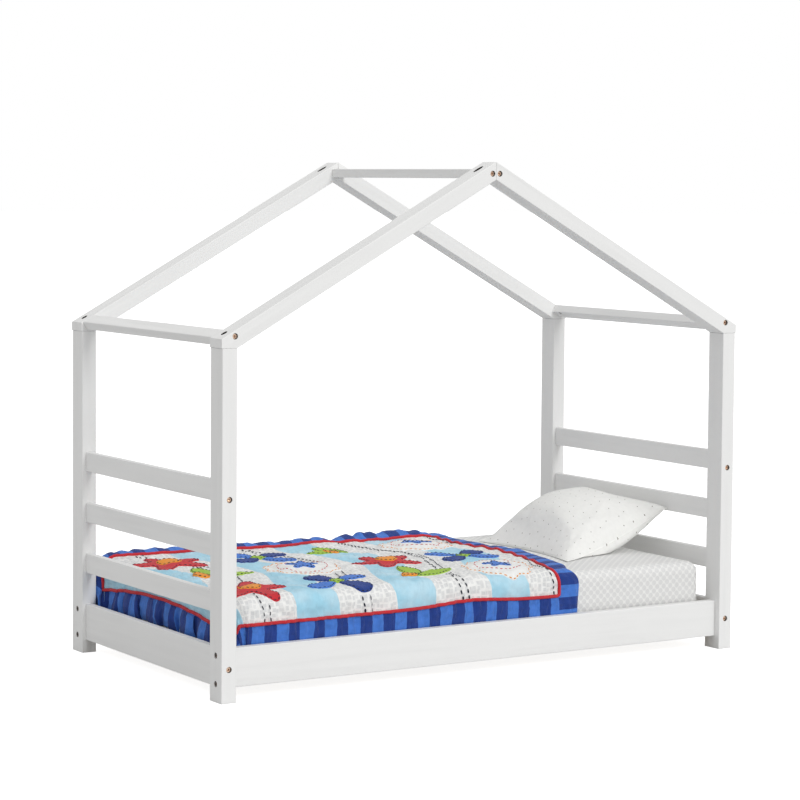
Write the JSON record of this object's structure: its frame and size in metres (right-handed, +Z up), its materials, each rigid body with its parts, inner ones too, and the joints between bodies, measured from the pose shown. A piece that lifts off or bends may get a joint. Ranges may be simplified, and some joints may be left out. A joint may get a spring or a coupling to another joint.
{
  "type": "house frame bed",
  "caption": "Low child's bed with a slatted base under a house-shaped timber frame, slatted head and foot ends, mattress with fitted sheet, quilt and pillow.",
  "frame": {"origin": "on the floor, at the middle of the frame's bounding box", "axes": "+X from the foot end to the head end along the bed, +Y from the front long side to the back one, +Z up"},
  "size_m": [1.464, 0.798, 1.225],
  "materials": {
    "white_paint": "satin white lacquer on pine",
    "bare_pine": "planed bare pine",
    "dowel_beech": "bare beech",
    "bolt_bronze": "bronzed bolt heads",
    "zinc_steel": "zinc-plated",
    "tape_cloth": "woven tape",
    "mattress_foam": "foam block in a plain cover",
    "sheet_cotton": "cotton printed with a small pale grey honeycomb",
    "quilt_cotton": "quilted cotton, blue striped border, red piping",
    "pillow_cotton": "off-white cotton with sparse small dots"
  },
  "bodies": {
    "frame": {"post_front_foot": "white_paint", "post_front_head": "white_paint", "post_back_foot": "white_paint", "post_back_head": "white_paint", "rafter_front_foot": "white_paint", "rafter_front_head": "white_paint", "rafter_back_foot": "white_paint", "rafter_back_head": "white_paint", "ridge_bar": "white_paint", "eave_bar_foot": "white_paint", "eave_bar_head": "white_paint", "side_rail_front": "white_paint", "side_rail_back": "white_paint", "end_rail_foot": "white_paint", "end_rail_head": "white_paint", "end_slat_foot_1": "white_paint", "end_slat_foot_2": "white_paint", "end_slat_foot_3": "white_paint", "end_slat_head_1": "white_paint", "end_slat_head_2": "white_paint", "end_slat_head_3": "white_paint", "ledge_front": "bare_pine", "ledge_back": "bare_pine", "base_slat_01": "bare_pine", "base_slat_02": "bare_pine", "base_slat_03": "bare_pine", "base_slat_04": "bare_pine", "base_slat_05": "bare_pine", "base_slat_06": "bare_pine", "base_slat_07": "bare_pine", "base_slat_08": "bare_pine", "base_slat_09": "bare_pine", "base_slat_10": "bare_pine", "base_slat_11": "bare_pine", "base_slat_12": "bare_pine", "slat_tape_front": "tape_cloth", "slat_tape_back": "tape_cloth", "bolts_side_rail": "bolt_bronze", "bolts_end_frame": "bolt_bronze", "bolts_roof_bar": "bolt_bronze", "bolts_rafter_foot": "bolt_bronze", "bolts_apex": "bolt_bronze", "barrel_nuts_side_rail": "zinc_steel", "barrel_nuts_end_frame": "zinc_steel", "barrel_nuts_roof_bar": "zinc_steel", "inserts_rafter_foot": "zinc_steel", "inserts_apex": "zinc_steel", "dowels_end_frame": "dowel_beech", "dowels_eave_bar": "dowel_beech", "ledge_screws": "zinc_steel", "slat_screws": "zinc_steel", "tape_staples": "zinc_steel"},
    "mattress": {"mattress_core": "mattress_foam", "fitted_sheet": "sheet_cotton"},
    "quilt": {"quilt": "quilt_cotton"},
    "pillow": {"pillow": "pillow_cotton"}
  },
  "joints": [
    {"name": "mattress_lift", "type": "slide", "parent": "frame", "child": "mattress", "axis": [0, 0, 1], "range_m": [0, 0.12]},
    {"name": "quilt_lift", "type": "slide", "parent": "mattress", "child": "quilt", "axis": [0, 0, 1], "range_m": [0, 0.15]},
    {"name": "pillow_lift", "type": "slide", "parent": "mattress", "child": "pillow", "axis": [0, 0, 1], "range_m": [0, 0.15]}
  ]
}
